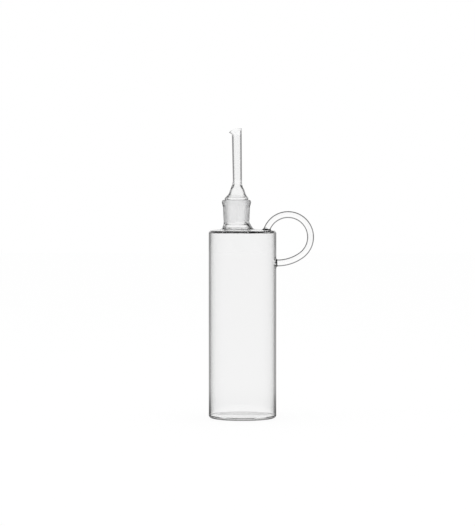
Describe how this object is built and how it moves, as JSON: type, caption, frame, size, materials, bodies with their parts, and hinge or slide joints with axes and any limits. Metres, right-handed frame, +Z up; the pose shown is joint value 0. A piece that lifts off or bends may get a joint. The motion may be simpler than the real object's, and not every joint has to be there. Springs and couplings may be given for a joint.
{
  "type": "oil bottle",
  "caption": "Clear glass oil bottle with a loop handle on its shoulder and a hollow ground-glass pourer seated in the off-centre neck.",
  "frame": {"origin": "centre of the base, on the axis of the barrel, in the plane that the bottle stands on", "axes": "+Z up along the barrel; +X towards the loop handle; the pourer's lip points to -X"},
  "size_m": [0.1012, 0.065, 0.2786],
  "materials": {
    "bottle_glass": "clear thin blown glass, ground inside the neck",
    "pourer_glass": "clear thin blown glass, ground on the plug"
  },
  "bodies": {
    "root": {"bottle": "bottle_glass", "pourer": "pourer_glass"}
  },
  "joints": []
}
